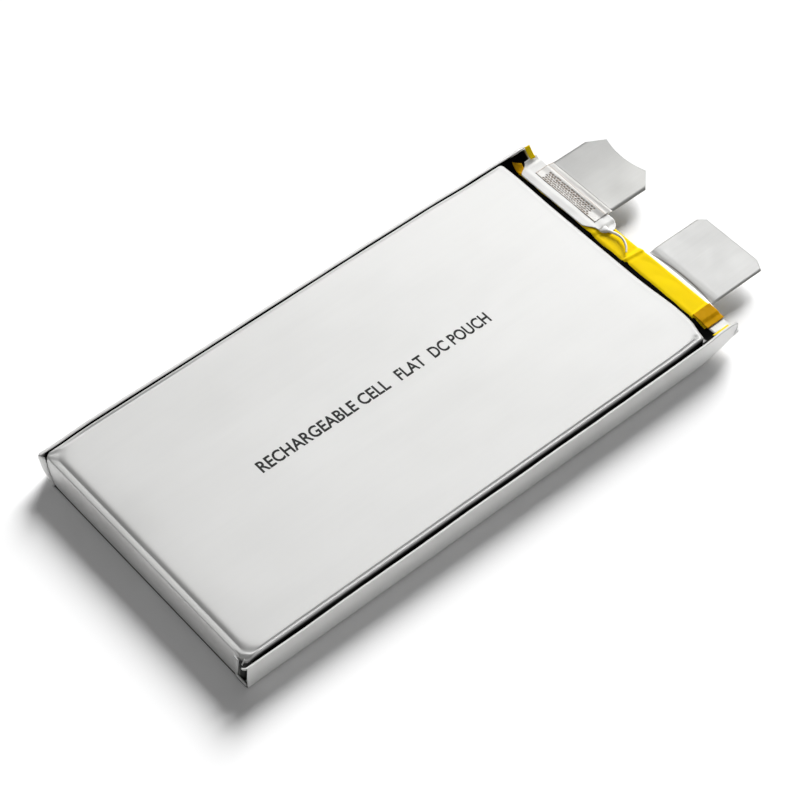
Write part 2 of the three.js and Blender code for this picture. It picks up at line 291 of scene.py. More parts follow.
def metal_material(name, colour, dark, roughness, pits_and_shade=None, painted_light_side=None):
    """Rolled metal with streaks along Y, faint scuffs, darkened pits and painted shade lines along its edges
    and folds.

    A painted light side gives two places along X, in millimetres, between which the tone grows lighter, as if
    the metal turned towards the lamps.
    """
    n = Nodes(name)
    streaks = n.noise(1.0, 5, 0.65, (1400, 60, 1400))
    scuffs = n.noise(120.0, 4, 0.6)
    tone = n.mix(n.span(streaks, 0.0, 0.55), colour, dark)
    # painted light: a lighter tone along X stands in for the metal catching more light
    if painted_light_side:
        where = n.add("ShaderNodeTexCoord").outputs["Object"]
        place_x = n.add("ShaderNodeSeparateXYZ", {"Vector": where}).outputs["X"]
        across = n.add("ShaderNodeMapRange", {"Value": place_x, "From Min": painted_light_side[0] * MM,
                                              "From Max": painted_light_side[1] * MM}).outputs["Result"]
        painted_light_tone = n.mix(n.span(streaks, 0.0, 0.55), (0.74, 0.74, 0.72, 1), (0.65, 0.65, 0.63, 1))
        tone = n.mix(across, tone, painted_light_tone)
    # darker where the per-point value is set: weld pits, and painted shade along edges and folds
    if pits_and_shade:
        tone = n.mix(n.add("ShaderNodeAttribute", attribute_name="pits_and_shade").outputs["Fac"], tone, pits_and_shade)
    n.shade(Base_Color=tone, Metallic=0.9, Roughness=n.span(scuffs, roughness - 0.06, roughness + 0.1))
    n.bump(streaks, 0.15, 0.01)
    return n.material


def film_material(name, light, deep, roughness, coat=0.0, shine=0.2):
    """Plastic tape or film: slight thickness variation, a few fine ripples, optional gloss coat."""
    n = Nodes(name)
    cloud = n.noise(90.0, 3, 0.55)
    ripple = n.noise(420.0, 3, 0.5, (1, 0.4, 1))
    n.shade(Base_Color=n.mix(n.span(cloud, 0.0, 1.0), light, deep),
            Roughness=n.span(ripple, roughness * 0.8, roughness * 1.2))
    n.shader.inputs["Coat Weight"].default_value = coat
    n.shader.inputs["Coat Roughness"].default_value = 0.2
    n.shader.inputs["Specular IOR Level"].default_value = shine
    n.bump(ripple, 0.2, 0.03)
    return n.material


def powder_material(name, light, deep, roughness):
    """Calendered electrode coating: fine grain with faint rolling bands."""
    n = Nodes(name)
    grain = n.noise(5200.0, 4, 0.7)
    bands = n.noise(1.0, 2, 0.5, (20, 500, 20))
    n.shade(Base_Color=n.mix(n.span(n.mix(0.5, grain, bands), 0, 1), light, deep), Roughness=roughness)
    n.bump(grain, 0.3, 0.02)
    return n.material


laminate = laminate_material()
aluminium = metal_material("aluminium", (0.80, 0.81, 0.82, 1), (0.62, 0.63, 0.64, 1), 0.42)
nickel = metal_material("nickel", (0.57, 0.57, 0.56, 1), (0.47, 0.47, 0.46, 1), 0.56,
                        pits_and_shade=(0.16, 0.155, 0.15, 1), painted_light_side=(-27, -8))
bright_nickel = metal_material("bright_nickel", (0.76, 0.76, 0.75, 1), (0.64, 0.64, 0.63, 1), 0.56,
                               pits_and_shade=(0.20, 0.18, 0.16, 1))
weld_nickel = metal_material("weld_nickel", (0.80, 0.79, 0.77, 1), (0.68, 0.67, 0.65, 1), 0.52,
                             pits_and_shade=(0.46, 0.37, 0.30, 1))
sealant = film_material("sealant", (0.90, 0.90, 0.88, 1), (0.82, 0.82, 0.79, 1), 0.35, coat=0.3)
yellow = film_material("yellow_tape", (0.86, 0.67, 0.001, 1), (0.80, 0.52, 0.001, 1), 0.6, shine=0.1)
amber = film_material("amber_tape", (0.54, 0.305, 0.0005, 1), (0.45, 0.21, 0.0005, 1), 0.6,
                      shine=0.08)
white = film_material("white_tape", (0.72, 0.72, 0.71, 1), (0.66, 0.66, 0.65, 1), 0.4, coat=0.15)
cathode = powder_material("cathode_coating", (0.030, 0.030, 0.034, 1), (0.015, 0.015, 0.017, 1), 0.75)
anode = powder_material("anode_coating", (0.075, 0.075, 0.082, 1), (0.045, 0.045, 0.050, 1), 0.6)
separator = film_material("separator", (0.86, 0.86, 0.84, 1), (0.78, 0.78, 0.76, 1), 0.5)
green = film_material("stack_tape", (0.05, 0.30, 0.16, 1), (0.03, 0.22, 0.12, 1), 0.3)


def ink_material():
    n = Nodes("ink")
    wear = n.noise(1500.0, 3, 0.6)
    n.shade(Base_Color=n.ramp(wear, (0.35, grey(0.006)), (0.75, grey(0.016))), Roughness=0.6)
    return n.material


ink = ink_material()

# ------------------------------------------------------------------ cup: top, walls and rim

# Wall and rim of the cup, from its foot inwards over the top: (distance inside the wall, height).
RIGHT_PROFILE = [(0.30, 0.30), (0.08, 0.75), (0.0, 2.0), (-0.05, 4.2), (0.0, 6.2), (0.03, 7.3),
                 (0.08, 7.7), (0.18, 7.93), (0.36, 8.03), (0.62, 8.03), (0.82, 7.90), (1.02, 7.71),
                 (1.14, 7.79), (1.29, 7.94), (1.55, 7.985), (3.0, 8.0), (5.5, 8.02), (8.0, 8.03)]
LEFT_PROFILE = [(0.30, 0.30), (0.08, 0.75), (0.0, 2.0), (-0.03, 4.2), (0.0, 6.1), (0.03, 7.0), (0.10, 7.5),
                (0.22, 7.84), (0.42, 8.0), (0.62, 8.03), (0.85, 8.01), (1.10, 7.98), (1.35, 7.97),
                (1.60, 7.98), (2.0, 7.99), (3.2, 8.0), (5.5, 8.02), (8.0, 8.03)]
NEAR_PROFILE = [(1.15, 0.04), (0.88, 0.22), (0.80, 0.8), (0.90, 3.4), (1.04, 5.2), (1.18, 6.3), (1.32, 7.0),
                (1.42, 7.3), (1.55, 7.42), (1.75, 7.46), (2.2, 7.50), (2.72, 7.52), (2.95, 7.55),
                (3.28, 7.73), (3.75, 7.90), (4.5, 7.97), (6.0, 8.0), (9.2, 8.03)]
FAR_PROFILE = [(-0.55, 3.2), (-0.25, 3.7), (0.0, 4.5), (0.05, 5.5), (0.10, 6.5), (0.20, 7.15), (0.38, 7.58),
               (0.60, 7.84), (0.88, 7.97), (1.18, 8.02), (1.50, 8.03), (1.90, 8.02), (2.30, 8.01),
               (2.80, 8.01), (3.50, 8.01), (4.50, 8.01), (6.0, 8.02), (8.0, 8.03)]
NEAR_CORNERS = [1.6, 1.6, 1.6, 1.6, 1.6, 1.5, 1.4, 1.3, 1.3, 1.4, 1.8, 2.4, 3.0, 3.8, 4.6, 5.2, 5.8, 6.0]
FAR_CORNERS = [1.0, 1.1, 1.2, 1.2, 1.1, 1.0, 0.9, 0.9, 0.9, 1.0, 1.1, 1.3, 1.5, 1.8, 2.2, 2.8, 3.4, 4.0]
ACROSS, ALONG, ARC = 60, 110, 6  # ring segments on a short side, a long side and half a corner
REFINE = 3  # rings between two listed profile points


def left_bow(y):
    """How far the left side stands out along its middle."""
    return 0.42 * smoothstep(y, -72, -58) * (1 - smoothstep(y, 40, 56)) + 0.1 * bell(y, 14, 16)


def corner_lift(x, y, z):
    """Rise of the film where the left near corner is folded up; x is counted outwards."""
    corner = smoothstep(x, 31.5, 37) * smoothstep(-y, -NEAR_Y - 4.3, -NEAR_Y)
    return corner * 5.6 * (1 - np.asarray(z) / SEAM_TOP)


def refined(values):
    """A smooth curve through listed values, with extra steps between them."""
    count = (len(values) - 1) * REFINE + 1
    p = np.array(values, float).reshape(len(values), -1)
    fine_at = np.linspace(0, len(values) - 1, count)
    ends = np.vstack([2 * p[0] - p[1], p, 2 * p[-1] - p[-2]])
    out = []
    for at in fine_at:
        i = min(int(at), len(values) - 2)
        t = at - i
        a, b, c, d = ends[i:i + 4]
        out.append(0.5 * (2 * b + (c - a) * t + (2 * a - 5 * b + 4 * c - d) * t * t
                          + (3 * b - a - 3 * c + d) * t ** 3))
    return np.squeeze(np.array(out))


def rounded_ring(left, right, near, far, near_radius, far_radius):
    """One loop of points anticlockwise from the middle of the near left corner, with side weights."""
    corners = [((left + near_radius, near + near_radius), near_radius, 225, 270),
               ((right - near_radius, near + near_radius), near_radius, 270, 315),
               ((right - near_radius, near + near_radius), near_radius, 315, 360),
               ((right - far_radius, far - far_radius), far_radius, 0, 45),
               ((right - far_radius, far - far_radius), far_radius, 45, 90),
               ((left + far_radius, far - far_radius), far_radius, 90, 135),
               ((left + far_radius, far - far_radius), far_radius, 135, 180),
               ((left + near_radius, near + near_radius), near_radius, 180, 225)]

    def arc(index):
        (cx, cy), radius, start, end = corners[index]
        angles = np.radians(np.linspace(start, end, ARC + 1))
        return np.stack([cx + radius * np.cos(angles), cy + radius * np.sin(angles)], axis=1)

    points = []
    for side, segments in enumerate((ACROSS, ALONG, ACROSS, ALONG)):
        first, last = arc(2 * side), arc(2 * side + 1)
        straight = np.linspace(first[-1], last[0], segments - 2 * ARC + 1)
        points.append(np.vstack([first[:-1], straight, last[1:-1]]))
    return np.vstack(points)


def side_weights():
    """Share of the near, side and far profiles at each point of a ring."""
    ramp = 0.5 + 0.5 * smoothstep(np.arange(ARC) / ARC)
    weights = []
    for segments in (ACROSS, ALONG, ACROSS, ALONG):
        own = np.ones(segments)
        own[:ARC] = ramp
        own[segments - ARC + 1:] = ramp[1:][::-1]
        weights.append(own)
    near, right, far, left = weights
    rest = [1 - w for w in weights]
    half_l = ALONG // 2
    w_near = np.concatenate([near, np.where(np.arange(ALONG) < half_l, rest[1], 0),
                             np.zeros(ACROSS), np.where(np.arange(ALONG) >= half_l, rest[3], 0)])
    w_far = np.concatenate([np.zeros(ACROSS), np.where(np.arange(ALONG) >= half_l, rest[1], 0),
                            far, np.where(np.arange(ALONG) < half_l, rest[3], 0)])
    return w_near, 1 - w_near - w_far, w_far


# Small creases in the cup's top: middle across, middle along, length, slant.
SMALL_CREASES = [(7, 22, 9, 0.10), (14, 40, 7, -0.08), (-6, 48, 8, 0.06), (19, -18, 10, 0.05)]


def relief(x, y):
    """Soft unevenness of the cup's top: a slight crown, shallow dents and lengthwise wrinkles."""
    lengthwise = smoothstep(y - NEAR_Y, 3, 12) * smoothstep(CUP_FAR_Y - y, 1, 6)
    crown = 0.10 * (1 - (x / 35) ** 2) * (1 - (y / 75) ** 2)
    dents = 0.05 * wander(x, y, 14, 22, 3.1) + 0.022 * wander(x, y, 6, 13, 8.7)
    creases = 0.03 * bell(x, -20, 2.0) * bell(y, -52, 16) + 0.02 * bell(x, -13, 1.2) * bell(y, -60, 7)
    for at_x, at_y, length, slant in SMALL_CREASES:
        creases = creases + 0.012 * bell(x, at_x + slant * (y - at_y), 0.8) * bell(y, at_y, length)
    return smoothstep(35 - np.abs(x), 2, 9) * lengthwise * (crown + dents - creases)


def left_valley(x, y):
    """The soft hollow inside the left rim, deepest towards the near end."""
    along = smoothstep(y, -71, -60) * (0.25 + 0.75 * (1 - smoothstep(y, -42, -20)))
    return 0.17 * bell(x, CUP_LEFT - left_bow(y) + 1.0, 0.33) * along


def cup_rings():
    left, right = refined(LEFT_PROFILE), refined(RIGHT_PROFILE)
    near, far = refined(NEAR_PROFILE), refined(FAR_PROFILE)
    near_radius, far_radius = refined(NEAR_CORNERS), refined(FAR_CORNERS)
    w_near, w_side, w_far = side_weights()
    rings = []
    for k in range(len(near)):
        ring = rounded_ring(CUP_LEFT + left[k][0], CUP_RIGHT - right[k][0], NEAR_Y + near[k][0],
                            CUP_FAR_Y - far[k][0], near_radius[k], far_radius[k])
        at_side = np.where(ring[:, 0] < 0, left[k][1], right[k][1])
        height = w_near * near[k][1] + w_side * at_side + w_far * far[k][1]
        rings.append(np.column_stack([ring, height]))
    return rings


def fill_ring(ring):
    """A grid inside a ring, joined to its points side by side."""
    near = ring[:ACROSS + 1]
    right = ring[ACROSS:ACROSS + ALONG + 1]
    far = ring[ACROSS + ALONG:2 * ACROSS + ALONG + 1][::-1]
    left = np.vstack([ring[2 * ACROSS + ALONG:], ring[:1]])[::-1]
    u = np.linspace(0, 1, ACROSS + 1)[None, :, None]
    v = np.linspace(0, 1, ALONG + 1)[:, None, None]
    return ((1 - v) * near[None] + v * far[None] + (1 - u) * left[:, None] + u * right[:, None]
            - (1 - u) * (1 - v) * near[0] - u * (1 - v) * near[-1]
            - (1 - u) * v * far[0] - u * v * far[-1])


def right_tuck(y):
    """How far the cup's right wall draws in from its seam at the far corner."""
    return RIGHT_SHIFT * smoothstep(y, CUP_FAR_Y - 12, CUP_FAR_Y)


def bend_far_edge(points):
    """The far edge of the cup bows out a little and falls back at its right corner."""
    x, y, z = points.T
    reach = smoothstep(y, CUP_FAR_Y - 12, CUP_FAR_Y)
    shift = 0.7 * bell(x, 25, 8) - 0.9 * smoothstep(x, 29, 35.5) + 0.25 * bell(x, -30, 8)
    points[:, 0] = x - right_tuck(y) * smoothstep(x, 30, 34)
    points[:, 1] = y + reach * shift
    points[:, 2] = z - reach * 0.10 * smoothstep(x, 26, 34) * smoothstep(z, 5, 8)
    return points


def build_cup():
    rings = cup_rings()
    count = len(rings[0])
    grid = fill_ring(rings[-1])
    points = np.vstack(rings)
    inner = grid[1:-1, 1:-1].reshape(-1, 3)
    index = np.zeros(grid.shape[:2], int)
    start = (len(rings) - 1) * count
    for c in range(ACROSS + 1):
        index[0, c] = start + c
        index[ALONG, c] = start + 2 * ACROSS + ALONG - c
    for r in range(ALONG + 1):
        index[r, ACROSS] = start + ACROSS + r
        index[r, 0] = start + (2 * (ACROSS + ALONG) - r) % count
    index[1:-1, 1:-1] = len(points) + np.arange(len(inner)).reshape(ALONG - 1, ACROSS - 1)
    faces = grid_quads(len(rings), count, wrap=True)
    faces += [(index[r, c], index[r, c + 1], index[r + 1, c + 1], index[r + 1, c])
              for r in range(ALONG) for c in range(ACROSS)]
    points = bend_far_edge(np.vstack([points, inner]))
    points[:, 0] -= left_bow(points[:, 1]) * smoothstep(-points[:, 0], 30, 34)
    points[:, 2] += corner_lift(-points[:, 0], points[:, 1], points[:, 2])
    dip = smoothstep(points[:, 0] - points[:, 1], 104.6, 105.8) * smoothstep(points[:, 2], 6.2, 7.0)
    points[:, 2] -= 0.7 * dip
    top = smoothstep(points[:, 2], 7.0, 7.7)
    points[:, 2] += top * (relief(points[:, 0], points[:, 1]) - left_valley(points[:, 0], points[:, 1]))
    wall = 1 - smoothstep(points[:, 2], 6.6, 7.6)
    points[:, 0] += wall * 0.06 * wander(points[:, 1], points[:, 2], 14, 6, 1.7)
    points[:, 1] += wall * 0.02 * wander(points[:, 0], points[:, 2], 14, 9, 5.2)
    return make_object("cup_shell", points, faces, laminate)


# ------------------------------------------------------------------ seams, back and terrace film

# Half of the back film's section, from under the cup up the folded seam, and the hem at its top.
SEAM_SECTION = [(33.5, 0.0), (35.2, 0.0), (36.2, 0.05), (36.92, 0.30), (37.28, 0.82), (37.34, 1.6),
                (37.26, 3.2), (37.15, 5.2), (37.05, 7.0), (37.03, 7.62)]
HEMS = {-1: [(37.20, 7.84), (37.06, SEAM_TOP + 0.03), (36.40, SEAM_TOP + 0.03)],
        1: [(37.04, 7.86), (36.97, SEAM_TOP + 0.07), (36.66, 7.90), (36.34, 7.79)]}
SEAM_REACH = 0.4  # how far the seams stand out beyond the near face
ROWS_Y = np.concatenate([np.linspace(NEAR_FACE - SEAM_REACH, NEAR_Y + 8, 22)[:-1],
                         np.linspace(NEAR_Y + 8, 58, 90)[:-1], np.linspace(58, TERRACE_END, 34)])


def back_rise(y):
    """Height of the back film's underside under the terrace, in the middle of the cell."""
    return np.interp(y, [60.6, 62.4, 64.4, 67.2, 68.6, TERRACE_END], [0, 0.25, 1.4, 3.1, 3.55, 3.6])


def seam_rise(y):
    """Height of the folded edge below a seam near its far end."""
    return np.interp(y, [61.4, 65.3, 68.8, 71.3, TERRACE_END], [0, 0.75, 1.9, 3.1, 3.8])


def seam_point(side, x, z, y):
    """Places one point of the half section at a row, with the seam's waviness and end shapes."""
    on_seam = smoothstep(z, 0.2, 1.6)
    rise = back_rise(y) * (1 - smoothstep(x, 31, 36)) + seam_rise(y) * smoothstep(x, 31, 36)
    height = rise + z * (SEAM_TOP - rise) / SEAM_TOP
    wave = 0.10 * wander(np.array([y]), np.array([z]), 17, 9, 2.0 + side)[0]
    wave += 0.05 * wander(np.array([y]), np.array([z]), 5, 4, 6.0 + side)[0]
    lean = on_seam * wave * z / SEAM_TOP
    top_drop = 0.12 * z / SEAM_TOP * wander(np.array([y]), np.array([0.0]), 22, 5, 9.0 + side)[0]
    far_drop = 0.35 * (z / SEAM_TOP) * smoothstep(y, 71.5, 73.5)
    slant = 1.1 * (1 - float(smoothstep(z, 0.8, 6))) if side > 0 else 0
    end = TERRACE_END - on_seam * (1.1 + slant)
    y = max(min(y, end), NEAR_FACE - SEAM_REACH * on_seam * (1 - 0.6 * float(smoothstep(z, 4, 7.9))))
    if side < 0:
        height = height + float(corner_lift(x, y, height))
        lean += float(left_bow(y)) * float(smoothstep(x, 30, 34))
    else:
        lean += RIGHT_SHIFT * on_seam * z / SEAM_TOP * (1 - float(smoothstep(y, 62, 70)))
    return np.array([side * (x + lean), y, height + top_drop - far_drop])


def half_section(side, offset=0.0):
    """The section's line; without an offset it includes the hem."""
    if offset:
        return parallel(rounded(SEAM_SECTION, 0.3, 34), offset)
    return rounded(SEAM_SECTION + HEMS[side], 0.13, 60)


def build_back():
    middle = np.linspace(-33.0, 33.0, 12)
    columns = ([(-1, x, z) for x, z in half_section(-1)[::-1]] + [(1, x, 0.0) for x in middle]
               + [(1, x, z) for x, z in half_section(1)])
    points = np.array([[seam_point(side, x, z, y) for side, x, z in columns] for y in ROWS_Y])
    back = make_grid("back_sheet", points, laminate, flip=True)
    return thicken(back, FILM)


def build_inner_layer(side):
    """The cup film outside the cup: the flange in the gap and the inner face of the seam."""
    line = half_section(side, FILM + 0.02)
    line = np.vstack([[[32.5, FILM + 0.02]], line])
    points = np.array([[seam_point(side, x, z, y) for x, z in line] for y in ROWS_Y])
    layer = make_grid("inner_layer", points, laminate, flip=side > 0)
    return thicken(layer, FILM)


def terrace_height(x, y):
    """Upper face of the terrace's film: raised over the tabs, curled up beside the seams."""
    ax = np.abs(x)
    raised = 0.0
    for low, high in ((adapter_low[0], adapter_high[0]), (negative_low[0], negative_high[0])):
        raised = raised + smoothstep(x, low - 3.2, low - 2.0) * (1 - smoothstep(x, high + 2.0, high + 3.2))
    base = 3.95 + 0.46 * raised
    valley = -0.15 * (1 - smoothstep(y, 66.6, 69.6))
    curl = 3.2 * smoothstep(ax, 33.2, 37.6) ** 1.5
    return base + valley + curl + 0.05 * wander(x, y, 6, 3, 4.4)


def build_terrace():
    x = np.linspace(-36.8, 36.8, 181)
    y = np.concatenate([np.linspace(65.0, 69.5, 16)[:-1], np.linspace(69.5, TERRACE_END, 12)])
    gx, gy = np.meshgrid(x, y)
    gy = gy - 0.5 * smoothstep(np.abs(gx), 34, 37) * smoothstep(gy, 70, TERRACE_END)
    points = np.stack([gx, gy, terrace_height(gx, gy)], axis=2)
    return thicken(make_grid("terrace_sheet", points, laminate), FILM)


def build_ear():
    """The folded film that closes the channel beside the cup at the left near corner."""
    foot, seam_foot = np.array([-32.3, NEAR_FACE - 0.12, 0.10]), np.array([-32.6, NEAR_FACE - 0.14, 0.08])
    seam_head, head = np.array([-37.15, NEAR_Y + 0.3, 7.6]), np.array([-35.6, NEAR_Y + 0.9, 7.45])
    u = np.linspace(0, 1, 12)[None, :, None]
    v = np.linspace(0, 1, 20)[:, None, None]
    points = (1 - v) * ((1 - u) * foot + u * seam_foot) + v * ((1 - u) * head + u * seam_head)
    bulge = np.sin(np.pi * v[:, :, 0]) * u[:, :, 0] ** 2
    points[:, :, 1] -= 0.25 * np.sin(np.pi * u[:, :, 0]) * np.sin(np.pi * v[:, :, 0]) + 0.3 * bulge
    points[:, :, 0] -= 0.75 * bulge
    return thicken(make_grid("ear", points, laminate, flip=True), FILM)


def build_flap():
    """The end of the near face beside the open right corner: a slanting edge above a low strip."""
    edge = rounded([(34.1, 7.55), (34.3, 6.65), (33.9, 4.0), (33.5, 1.5)], 0.4, 24)
    u = np.linspace(0, 1, 8)[None, :]
    x = 32.6 + u * (edge[:, :1] - 32.6)
    z = np.repeat(edge[:, 1:], 8, axis=1)
    upper = np.stack([x, NEAR_FACE + 0.06 - 0.16 * u ** 2 + 0 * z, z], axis=2)
    x, z = np.meshgrid(np.linspace(32.6, 36.5, 20), np.linspace(1.5, 0.05, 6))
    strip = np.stack([x, NEAR_FACE + 0.06 - 0.16 * smoothstep(x, 32.6, 33.6), z], axis=2)
    sheets = [thicken(make_grid("flap", points, laminate), 0.24, 0) for points in (upper, strip)]
    return joined("flap", sheets)


def build_fold():
    """A narrow fold of film that runs down from the rim inside the open right corner."""
    down = np.linspace(0, 1, 10)[:, None]
    across = np.linspace(0, 1, 4)[None, :]
    x = 34.55 + 0.5 * down + 0.34 * across
    y = NEAR_FACE + 1.25 - 1.2 * down - 0.1 * across
    z = 7.6 - 0.5 * down + 0 * across
    return thicken(make_grid("fold", np.stack([x, y, z], axis=2), laminate), 0.12, 0)


def build_hook():
    """The short inward curl at the top of the right seam's near end."""
    down = np.linspace(0, 1, 6)[:, None]
    along = np.linspace(0, 1, 10)[None, :]
    x = 36.90 - 0.72 * along ** 1.2 * (1 - 0.3 * down)
    y = NEAR_FACE - 0.12 - 0.80 * along * (1 - 0.3 * down)
    z = SEAM_TOP + 0.03 - 0.5 * down + 0 * along
    return thicken(make_grid("hook", np.stack([x, y, z], axis=2), laminate), 0.34, 0)


def mark_painted_shade(thing, rule):
    """Stores painted shade for each point, for the film's material: darkness in closed gaps and creases and
    where the film turns under.
    """
    attribute = thing.data.attributes.new("painted_shade", "FLOAT", "POINT")
    co = np.zeros(len(thing.data.vertices) * 3, np.float32)
    thing.data.vertices.foreach_get("co", co)
    attribute.data.foreach_set("value", rule(co.reshape(-1, 3) / MM).astype(np.float32))


def side_painted_shade(points, open_from, open_to):
    """Painted shade of the closed channel beside the cup, fading out between two heights."""
    x, y, z = points.T
    left_edge = -CUP_LEFT + left_bow(y)
    right_edge = CUP_RIGHT - right_tuck(y)
    beside = np.where(x < 0, smoothstep(-x - left_edge, -0.15, 0.02),
                      smoothstep(x - right_edge, -0.15, 0.02))
    near_end = np.where(x < 0, smoothstep(y, NEAR_Y + 1.0, NEAR_Y + 2.2), 1.0)
    return beside * near_end * (1 - smoothstep(z, open_from, open_to)) * (1 - smoothstep(y, 68.5, 70.5))


def corner_painted_shade(points):
    """Painted shade on the cup's wall where it turns into the open right near corner."""
    x, y, z = points.T
    turned = smoothstep(x, 33.6, 34.3) * (1 - smoothstep(y, -71.4, -70.4))
    return 0.92 * turned * (1 - smoothstep(z, 6.6, 7.2))


def foot_shade(points):
    """Painted shade of the film where it turns under, along the near end and the right side."""
    x, y, z = points.T
    outside = np.maximum(1 - smoothstep(y, NEAR_Y + 1.6, NEAR_Y + 2.0), smoothstep(x, 36.2, 36.6))
    return 0.8 * outside * (1 - smoothstep(z, 0.22, 0.5))


# Painted shade on the terrace film: the crease beside the cup's far wall and the dark recesses at both ends.
def terrace_painted_shade(points):
    x, y, _ = points.T
    crease = smoothstep(y, 65.8, 66.6) * (1 - smoothstep(y, 69.3, 69.8))
    left_recess = smoothstep(-x, 33.6, 34.4) * (1 - smoothstep(y, 73.3, 74.0))
    right_recess = smoothstep(x, 33.6, 34.4) * (1 - smoothstep(y, 70.2, 71.4))
    return np.maximum(crease, np.maximum(left_recess, right_recess))


def build_film():
    cup = build_cup()
    mark_painted_shade(cup, lambda p: np.maximum.reduce([side_painted_shade(p, 6.9, 7.75), corner_painted_shade(p), foot_shade(p)]))
    parts = [cup]
    for side in (-1, 1):
        layer = build_inner_layer(side)
        mark_painted_shade(layer, lambda p: side_painted_shade(p, 7.5, 7.75))
        parts.append(layer)
    terrace = build_terrace()
    mark_painted_shade(terrace, terrace_painted_shade)
    parts.append(terrace)
    place(joined("pouch_front", parts), "laminate_film", "pouch_cup_film")

    back = build_back()
    mark_painted_shade(back, foot_shade)
    extras = [build_ear(), build_flap(), build_fold(), build_hook()]
    for extra in extras:
        mark_painted_shade(extra, foot_shade)
    place(joined("pouch_back", [back, *extras]), "laminate_film", "pouch_back_film")


build_film()

# ------------------------------------------------------------------ terrace tapes


def laid_tape(name, gx, gy, height, material, thickness=TAPE, flip=False):
    return thicken(make_grid(name, np.stack([gx, gy, height], axis=2), material, flip), thickness, 1)


def build_terrace_tape():
    x = np.linspace(-33.4, 31.4, 260)
    y = np.linspace(68.4, TERRACE_END + 0.15, 24)
    gx, gy = np.meshgrid(x, y)
    lift = 0.10 + 0.10 * np.abs(wander(gx, gy, 7, 4, 12.0))
    for middle, slant in ((4.2, 0.1), (26.9, -0.05)):
        ridge = middle + slant * (gy - 70)
        lift = lift + 0.22 * bell(gx, ridge, 0.35) - 0.10 * bell(gx, ridge + 0.9, 0.5)
    height = terrace_height(gx, gy) + lift - 0.5 * smoothstep(gy, TERRACE_END - 0.35, TERRACE_END + 0.15) ** 2
    height -= 0.22 * (1 - smoothstep(gy, 68.4, 69.5)) ** 2
    return laid_tape("yellow_main", gx, gy, height, yellow)


def build_tape_lap():
    x = np.linspace(26.9, 31.9, 30)
    y = np.linspace(69.0, TERRACE_END + 0.1, 18)
    gx, gy = np.meshgrid(x, y)
    height = terrace_height(gx, gy) + 0.30 + 0.12 * np.abs(wander(gx, gy, 2, 2, 15.0))
    return laid_tape("yellow_lap", gx, gy, height, amber)


def build_tape_sliver():
    y = np.linspace(68.5, 73.4, 20)
    x = np.linspace(34.1, 35.3, 6)
    gx, gy = np.meshgrid(x, y)
    height = terrace_height(gx, gy) + 0.15 + 0.5 * smoothstep(gx, 34.5, 35.3)
    return laid_tape("yellow_sliver", gx, gy, height, yellow)


def build_tape_scrap(name, corners, lift, material):
    """A small torn piece of tape between four corners, given near left first and anticlockwise."""
    near_left, near_right, far_right, far_left = (np.array(c, float) for c in corners)
    u = np.linspace(0, 1, 9)[None, :, None]
    v = np.linspace(0, 1, 9)[:, None, None]
    flat = (1 - v) * ((1 - u) * near_left + u * near_right) + v * ((1 - u) * far_left + u * far_right)
    x, y = flat[..., 0], flat[..., 1]
    height = terrace_height(x, y) + lift + 0.08 * np.abs(wander(x, y, 1, 1, 3))
    return laid_tape(name, x, y, height, material)


YELLOW_CORNER = [(-36.7, 73.3), (-34.3, 73.5), (-34.1, 75.0), (-36.6, 74.9)]
AMBER_CORNER = [(-36.0, 68.7), (-32.2, 68.5), (-32.6, 70.6), (-35.0, 71.0)]
tape = joined("polyimide_tape", [
    build_terrace_tape(), build_tape_lap(), build_tape_sliver(),
    build_tape_scrap("yellow_corner", YELLOW_CORNER, 1.0, yellow),
    build_tape_scrap("amber_corner", AMBER_CORNER, 0.25, amber)])
place(tape, "yellow_tape", "terrace_tape")


def build_under_tape():
    low, high = node_box("terrace_tape_under")
    x = np.linspace(low[0], high[0], 120)
    y = np.linspace(low[1], high[1], 10)
    gx, gy = np.meshgrid(x, y)
    height = back_rise(gy) - 0.03 - 0.04 * np.abs(wander(gx, gy, 6, 3, 21.0))
    under = laid_tape("polyimide_tape_under", gx, gy, height, yellow, flip=True)
    place(under, "yellow_tape", "terrace_tape_under")


build_under_tape()


def white_tape_outline():
    """Near and far edges of the white tape along X, with a round right end and a cut left end."""
    end_x, end_y, radius = -7.2, 73.1, 2.6
    body = np.linspace(-34.8, end_x, 130)
    turn = end_x + radius * np.sin(np.linspace(0, math.pi / 2, 22)[1:]) * 0.998
    half = np.sqrt(radius ** 2 - (turn - end_x) ** 2)
    near = 68.4 + 2.0 * smoothstep(body, -11.0, end_x) + 3.3 * (1 - smoothstep(body, -34.8, -31.8))
    far = np.full(body.shape, end_y + radius)
    return (np.concatenate([body, turn]), np.concatenate([near, end_y - half]),
            np.concatenate([far, end_y + half]))


def build_white_tape():
    x, near, far = white_tape_outline()
    rows = 26
    t = np.linspace(0, 1, rows)[:, None]
    gx = np.repeat(x[None, :], rows, axis=0)
    gy = near[None, :] * (1 - t) + far[None, :] * t
    height = terrace_height(gx, np.minimum(gy, TERRACE_END)) + 0.34
    height += 0.05 * bell(gy, 70.3, 0.6) + 0.04 * wander(gx, gy, 4.0, 2.5, 31.0)
    height += 0.3 * (1 - smoothstep(gx, -34.8, -31.0)) * smoothstep(gy, 70, 75)
    height += 0.20 * smoothstep(gx, -9, -6) * bell(gy, 72.6, 1.4)
    return laid_tape("white_main", gx, gy, height, white, 0.08)


